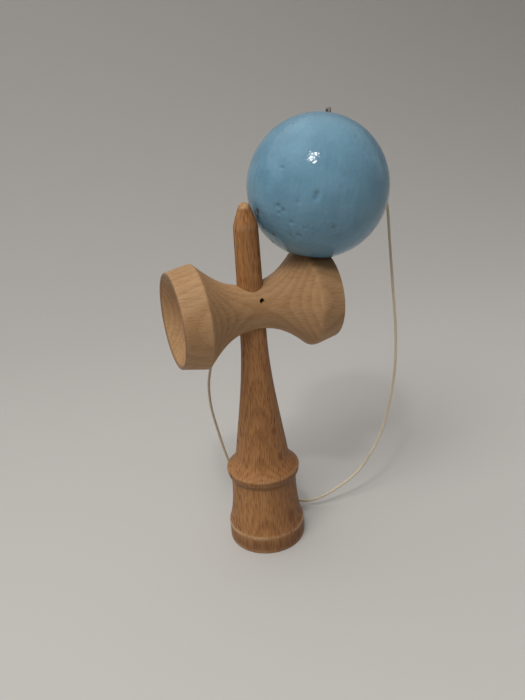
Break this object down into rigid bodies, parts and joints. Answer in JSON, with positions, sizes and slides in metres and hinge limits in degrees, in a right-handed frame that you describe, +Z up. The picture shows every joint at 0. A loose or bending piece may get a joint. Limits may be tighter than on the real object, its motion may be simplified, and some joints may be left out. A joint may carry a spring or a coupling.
{
  "type": "cup and ball toy",
  "caption": "Turned wooden handle with a spike and a dished cross piece, and a drilled lacquered ball on a string that is caught in the cups or on the spike.",
  "frame": {"origin": "centre of the ring that the foot stands on, at floor level", "axes": "+Z up along the handle and its spike, +X along the cross piece towards the small cup, +Y towards the side where the string enters the cross piece"},
  "size_m": [0.1101, 0.061, 0.2001],
  "materials": {
    "handle_wood": "satin",
    "cross_wood": "satin",
    "ball_lacquer": "gloss",
    "bead_wood": "satin",
    "string": "matte"
  },
  "bodies": {
    "handle": {"handle": "handle_wood"},
    "cross_piece": {"cross_piece": "cross_wood", "cross_piece_knot": "string", "string": "string"},
    "string_end": {"ball_string": "string", "stop_bead": "bead_wood", "bead_knot": "string"},
    "ball": {"ball": "ball_lacquer"}
  },
  "joints": [
    {"name": "cross_piece_pull", "type": "slide", "parent": "handle", "child": "cross_piece", "axis": [0, 0, 1], "range_m": [0, 0.058]},
    {"name": "ball_lift", "type": "slide", "parent": "cross_piece", "child": "string_end", "axis": [0.215, 0, 0.9766], "range_m": [0, 0.05], "deforming": ["string"]},
    {"name": "ball_spin", "type": "hinge", "parent": "string_end", "child": "ball", "pos_m": [0.0338, 0, 0.16863], "axis": [0.215, 0, 0.9766], "continuous": true}
  ]
}
